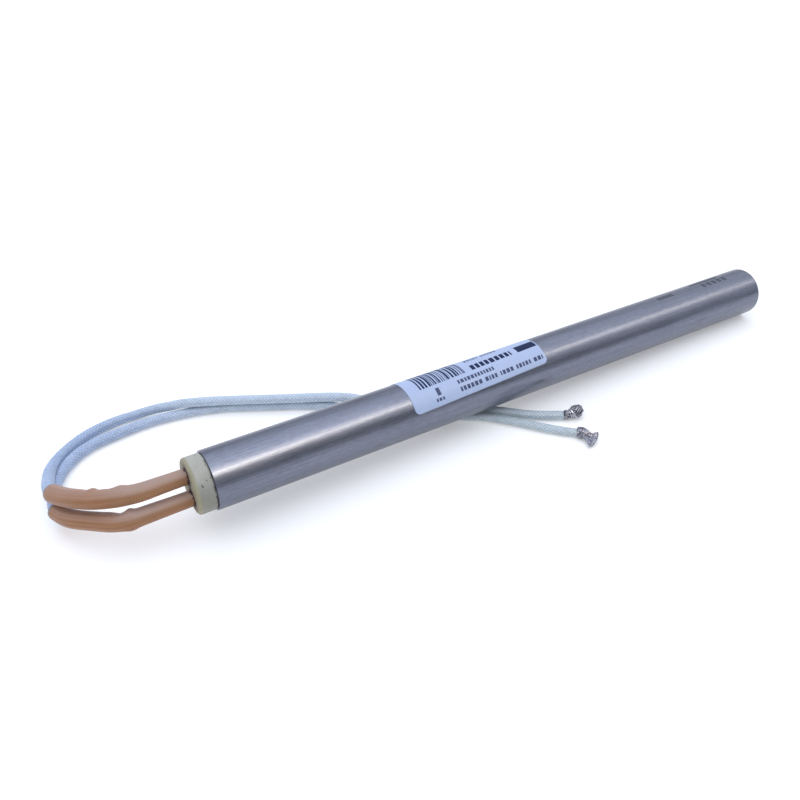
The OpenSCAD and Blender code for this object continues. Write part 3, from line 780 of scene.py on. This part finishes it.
def fanned_end(name, q, s, key, tip, edge_a, edge_b):
    """Strands knotted at the braid and spread beyond the knot to a straight cut."""
    d = Build()
    core(d, q, s, key)
    f = bundle_frame(q, tip)
    r = np.random.default_rng(33)
    count = 130
    ea, eb = np.array(edge_a, float), np.array(edge_b, float)
    shift = np.array([RIM_X, 0, 0])
    for i in range(count + 44):
        rho, phi = math.sqrt((i % count + 0.5) / count), i * 2.39996
        w = (i * 0.618034) % 1.0
        if i >= count:
            rho, w = 0.45 * rho + 0.3, 0.28 + 0.44 * w
        lift = r.uniform(-0.36, 0.36) * (1 - abs(2 * w - 1)) ** 0.35
        stop = shift + ea + (eb - ea) * w + np.array([0, 0, lift]) + r.normal(0, 0.11, 3) * (1, 1, 0.3)
        stop += 1.0 * (4 * w * (1 - w)) ** 0.7 * np.array([0.437, -0.9, 0])
        go = np.linspace(-0.9, 2.5, 20)
        grow = 1.0 + 0.85 * smooth(-0.3, 1.2, go) - 0.05 * smooth(1.8, 2.5, go)
        a = phi + 0.45 * go
        first = at_line(f, go, rho * grow * np.cos(a), rho * grow * np.sin(a))
        pull = unit(first[-1] - first[-3])
        u = np.linspace(0, 1, 18)[1:, None]
        span = np.linalg.norm(stop - first[-1])
        mid = first[-1] + pull * span * 0.30
        curve = (1 - u) ** 2 * first[-1] + 2 * u * (1 - u) * mid + u**2 * stop
        pts = np.concatenate([first, curve])
        pts[:, 2] = np.maximum(pts[:, 2], 0.22)
        d.tube(pts, 0.19, 8)
    # the knot: strands wound slantwise round the bundle
    for k in range(13):
        u = np.linspace(0, 1, 64)
        a = r.uniform(0, 6.3) + 2 * math.pi * r.uniform(0.9, 1.5) * u
        tilt, turn = r.uniform(0.35, 1.0), r.uniform(0, 6.3)
        rr = 1.92 + 0.22 * np.sin(2 * a + turn) + r.uniform(-0.15, 0.2)
        along = 1.45 + r.uniform(-0.4, 0.5) + tilt * np.cos(a - turn) + 0.3 * (u - 0.5)
        pts = at_line(f, along, rr * np.cos(a), rr * np.sin(a))
        pts[:, 2] = np.maximum(pts[:, 2], 0.22)
        d.tube(pts, 0.19, 8)
    o = d.object(name, [MAT_NICKEL])
    return o


TIP_1 = [(132.9, -20.4, 2.25), (135.9, -21.0, 2.7), (139.7, -22.1, 2.75)]
TIP_2 = [(130.5, -31.5, 2.15), (131.5, -33.6, 2.2), (132, -36, 1.9)]
strands_1 = folded_end("strands_1", LINE_1, S_1, KEY_1, TIP_1)
strands_2 = fanned_end("strands_2", LINE_2, S_2, KEY_2, TIP_2, (135.2, -34.3, 2.4), (128.2, -37.7, 1.2))
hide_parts("conductor_1")
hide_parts("conductor_2")

# ---------------------------------------------------------------- sheath

prof = [(0.0, BORE + 0.02), (0.0, R - 0.22)]
prof += arc(0.22, R - 0.22, 0.22, 180, 90, 5)[1:]
prof += [(x, R) for x in np.linspace(3, 247, 62)]
prof += arc(LONG - 0.8, R - 0.8, 0.8, 90, 0, 9)
prof += [(LONG, BORE + 0.02), (LONG - 0.3, BORE), (LONG / 2, BORE), (0.3, BORE)]
d = Build()
d.rings(turned(prof, 224)[:, ::-1], loop=True)
tube = d.object("sheath_tube", [MAT_SHEATH], sharp=40)
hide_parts("sheath")

# ---------------------------------------------------------------- ceramic head


def solid_turned(name, profile, seg, about=(0.0, 0.0)):
    d = Build()
    p = turned(profile, seg)[:, ::-1] + on_axis(0, about[0], about[1]) - RIM
    d.rings(p, cap0=True, cap1=True)
    return d.object(name, [MAT_CERAMIC])


hp = [(-HEAD_OUT, 1.5), (-HEAD_OUT, 5.0), (-HEAD_OUT, HEAD_R - 1.0)]
hp += arc(-HEAD_OUT + 1.0, HEAD_R - 1.0, 1.0, 180, 90, 9)[1:]
hp += [(-3.0, HEAD_R), (-1.4, HEAD_R), (-0.45, HEAD_R), (-0.32, HEAD_R - 0.1), (-0.28, HEAD_R - 0.35), (-0.28, BORE - 0.05), (3, BORE - 0.05), (HEAD_IN, BORE - 0.05), (HEAD_IN, 1.5)]
head = solid_turned("ceramic_collar", hp, 192)
for hole in (HOLE_1, HOLE_2):
    flare = [(1.0, 1.31), (1.0, 2.78), (-3.2, 2.78)]
    flare += [(-HEAD_OUT + 1.3 - 1.3 * math.sin(math.radians(a)), 2.78 + 0.50 * (1 - math.cos(math.radians(a)))) for a in (15, 30, 45, 60, 75, 90)]
    flare += [(-HEAD_OUT - 0.6, 3.34), (-HEAD_OUT - 0.6, 0.5)]
    flare = [(HEAD_IN + 1, 0.5), (HEAD_IN + 1, 1.31)] + flare
    cutter = solid_turned("cutter", flare[::-1], 96, hole)
    cut = head.modifiers.new("hole", "BOOLEAN")
    cut.operation, cut.solver, cut.object = "DIFFERENCE", "EXACT", cutter
    bpy.context.view_layer.update()
    made = bpy.data.meshes.new_from_object(head.evaluated_get(bpy.context.evaluated_depsgraph_get()))
    head.modifiers.clear()
    head.data = made
    bpy.data.objects.remove(cutter)
head.data.name = "ceramic_collar"
head.data.shade_smooth()
head.data.set_sharp_from_angle(angle=math.radians(32))
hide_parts("ceramic_head")

# ---------------------------------------------------------------- label

SKEW = math.radians(2.2)
LABEL_X, LABEL_TURN, LABEL_L, LABEL_H = 72.0, math.radians(-65.5), 58.8, 24.6
CORNER = 2.0


def on_label(u, v, r):
    """A point of the wrapped sheet: u along, v up from its lower edge, r its radius."""
    x = LABEL_X + u * math.cos(SKEW) - v * math.sin(SKEW)
    turn = LABEL_TURN + (v * math.cos(SKEW) + u * math.sin(SKEW)) / 10.1
    return on_wall(x, turn, r)


u = np.unique(np.concatenate([CORNER * (1 - np.cos(np.linspace(0, math.pi / 2, 12))), np.linspace(CORNER, LABEL_L - CORNER, 60),
                              LABEL_L - CORNER * (1 - np.cos(np.linspace(0, math.pi / 2, 12)))]).round(6))
gap = np.minimum(u, LABEL_L - u)
inset = np.where(gap < CORNER, CORNER - np.sqrt(np.clip(CORNER**2 - (CORNER - gap) ** 2, 0, None)), 0.0)
inset = np.minimum(inset, CORNER - 0.02)
rows = 60
v = inset[:, None] + (LABEL_H - 2 * inset)[:, None] * np.linspace(0, 1, rows)[None, :]
uu = np.repeat(u[:, None], rows, 1)
near = np.minimum(np.minimum(uu, LABEL_L - uu), np.minimum(v, LABEL_H - v))
lift = 0.05 * np.exp(-(np.hypot(uu, v) / 2.0) ** 2) + 0.04 * np.exp(-(np.hypot(LABEL_L - uu, v) / 1.6) ** 2)
wave = 0.012 * np.sin(uu * 0.55) * np.sin(v * 0.7)
top = on_label(uu, v, 10.125 + lift + wave)
low = on_label(uu, v, 10.02 + lift + wave)
d = Build()
nu = len(u)
idx = np.arange(nu * rows).reshape(nu, rows)
quad = np.stack([idx[:-1, :-1], idx[1:, :-1], idx[1:, 1:], idx[:-1, 1:]], -1).reshape(-1, 4)
d.add(top, quad[:, ::-1].tolist())
d.add(low, quad.tolist())
off = nu * rows
rim = np.concatenate([idx[:, 0], idx[-1, 1:], idx[-2::-1, -1], idx[0, -2:0:-1]])
d.f += [[int(a), int(b), int(b) + off, int(a) + off] for a, b in zip(rim, np.roll(rim, -1))]
d.mat += [0] * len(rim)
edge = np.concatenate([np.clip(1 - near / 0.22, 0, 1).ravel() * 0.6, np.full(off, 0.8)])
label = d.object("paper_label", [MAT_PAPER], sharp=50, attrs={"edge": edge})
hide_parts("label")

# printed fields: a row of upright bars and rows of short strokes
ink = Build()
PR = (10.120, 10.142)


def printed(u0, u1, v0, v1, mat=0):
    ink.patch(u0, u1, v0, v1, PR[0], PR[1], on_label, mat=mat)


r = np.random.default_rng(4)
x = 5.2
while x < 25.4:
    w = float(r.choice([0.22, 0.36, 0.36, 0.62, 0.82]))
    g = float(r.choice([0.24, 0.30, 0.46, 0.62]))
    if x + w > 25.5:
        break
    printed(x, x + w, 8.05, 19.6, 0 if w > 0.2 else 1)
    x += w + g


def block_row(u0, u1, v0, tall, mat, seed, wide, gap, groups):
    """A row of plain blocks of varied width in groups: filler print with no letters."""
    q = np.random.default_rng(seed)
    x, left = u0, int(q.choice(groups))
    while x < u1 - 0.3:
        w = min(float(q.uniform(*wide)), u1 - x)
        printed(x, x + w, v0, v0 + tall, mat)
        x += w + gap
        left -= 1
        if left <= 0:
            x += gap * 2.2
            left = int(q.choice(groups))


block_row(28.0, 46.6, 8.05, 2.4, 0, 6, (1.3, 1.9), 0.62, [9])
block_row(19.8, 36.4, 4.95, 1.45, 1, 8, (0.6, 1.3), 0.46, [12])
block_row(19.8, 57.6, 2.05, 1.6, 1, 9, (0.6, 1.4), 0.48, [5, 6, 4])
block_row(9.2, 13.2, 1.75, 1.1, 1, 12, (0.7, 1.0), 0.42, [4])
block_row(28.4, 44.0, 13.4, 1.5, 1, 15, (0.6, 1.2), 0.50, [3, 5])
printed(10.4, 11.9, 3.75, 6.6, 1)
printed(49.3, 58.35, 8.0, 11.3)
inked = ink.object("label_print", [MAT_INK, MAT_INK_LIGHT], sharp=50)

# short etched ticks near the closed end
etch = Build()


def on_sheath(x, turn_mm, rr):
    return on_wall(x, turn_mm / R, rr)


q = np.random.default_rng(17)
for x0, count, step, base, tall in ((196.6, 7, 1.25, 0.2, 1.9), (222.0, 5, 3.1, -1.0, 2.5), (217.5, 9, 1.9, 2.7, 1.6)):
    for k in range(count):
        x = x0 + k * step
        etch.patch(x, x + 0.56, base, base + tall, R - 0.02, R + 0.006, on_sheath)
        if step > 1.5:
            etch.patch(x + 1.05, x + 1.61, base, base + tall, R - 0.02, R + 0.006, on_sheath)
etched = etch.object("sheath_ticks", [MAT_ETCH], sharp=50)

# ---------------------------------------------------------------- CAD nodes that stay

for name, mat in {
    "end_disc": MAT_DISC, "base_insulator": MAT_MAGNESIA, "winding_core": MAT_MAGNESIA, "magnesia_fill": MAT_MAGNESIA,
    "top_insulator": MAT_MAGNESIA, "heating_coil": MAT_COIL, "head_seal": MAT_CEMENT, "terminal_pin_1": MAT_PIN,
    "terminal_pin_2": MAT_PIN, "crimp_1": MAT_CRIMP, "crimp_2": MAT_CRIMP,
}.items():
    o = nodes[name]
    if not o.material_slots:
        o.data.materials.append(mat)
    for s in o.material_slots:
        s.link = "OBJECT"
        s.material = mat

# ---------------------------------------------------------------- floor and light

m, t, b = material("floor_white", Roughness=0.9)
b.inputs["Specular IOR Level"].default_value = 0.0
b.inputs["Emission Color"].default_value = (1, 1, 1, 1)
b.inputs["Emission Strength"].default_value = 0.24
fl = noise(t, coords(t, (3, 3, 3)), 1, 2, 0.5)
t.links.new(ramp(t, fl, (0.3, (0.805, 0.795, 0.775)), (0.7, (0.815, 0.805, 0.785))), b.inputs["Base Color"])
mesh = bpy.data.meshes.new("floor")
mesh.from_pydata([(-6, -6, 0), (6, -6, 0), (6, 6, 0), (-6, 6, 0)], [], [(0, 1, 2, 3)])
mesh.materials.append(m)
floor = bpy.data.objects.new("floor", mesh)
bpy.context.scene.collection.objects.link(floor)

world = bpy.data.worlds.new("studio")
bpy.context.scene.world = world
world.use_nodes = True
t = world.node_tree
bg = t.nodes["Background"]
direction = put(t, "ShaderNodeTexCoord").outputs["Generated"]
sep = put(t, "ShaderNodeSeparateXYZ", {0: direction})
zz = maths(t, "MULTIPLY", sep.outputs[2], sep.outputs[2])
bright = maths(t, "MULTIPLY_ADD", zz, 1.42)
t.nodes[-1].inputs[2].default_value = 0.60
front = put(t, "ShaderNodeMapRange", {"Value": sep.outputs[1], "From Min": -0.50, "From Max": -0.74, "To Min": 0.0, "To Max": 1.0}, interpolation_type="SMOOTHSTEP").outputs[0]
above = put(t, "ShaderNodeMapRange", {"Value": sep.outputs[2], "From Min": 0.03, "From Max": 0.13, "To Min": 0.0, "To Max": 1.0}, interpolation_type="SMOOTHSTEP").outputs[0]
front = maths(t, "MULTIPLY", front, above)
level = put(t, "ShaderNodeMix", {0: front, 2: bright, 3: 0.36}, data_type="FLOAT").outputs[0]
bg.inputs["Color"].default_value = (0.93, 0.98, 1.11, 1)
t.links.new(level, bg.inputs["Strength"])


def area(name, at, aim, size_x, size_y, power, colour, along=None):
    l = bpy.data.lights.new(name, "AREA")
    l.shape, l.size, l.size_y, l.energy, l.color = "RECTANGLE", size_x, size_y, power, colour
    o = bpy.data.objects.new(name, l)
    z = (Vector(at) - Vector(aim)).normalized()
    x = Vector(along or (1, 0, 0))
    x = (x - x.dot(z) * z).normalized()
    mt = Matrix((x, z.cross(x), z)).transposed().to_4x4()
    mt.translation = Vector(at)
    o.matrix_world = mt
    o.visible_diffuse = False
    bpy.context.scene.collection.objects.link(o)
    return o


# a row of narrow lamps over the heater's near side gives the bright streak along it, fading towards the closed end
WARM = (1.0, 0.86, 0.66)
area("strip_a", (-0.08, -0.385, 0.62), (-0.15, 0.0, 0.01), 0.34, 0.05, 1.75, WARM)
area("strip_b", (0.21, -0.31, 0.62), (-0.05, 0.0, 0.01), 0.24, 0.05, 0.58, WARM)
area("strip_c", (0.50, -0.26, 0.62), (0.05, 0.0, 0.01), 0.34, 0.05, 0.39, WARM)
area("strip_d", (0.86, -0.24, 0.62), (0.10, 0.0, 0.01), 0.38, 0.05, 0.36, WARM)

scene = bpy.context.scene
scene.view_settings.view_transform = "Standard"
scene.view_settings.look = "None"
scene.view_settings.exposure = 0.0
scene.view_settings.gamma = 1.0
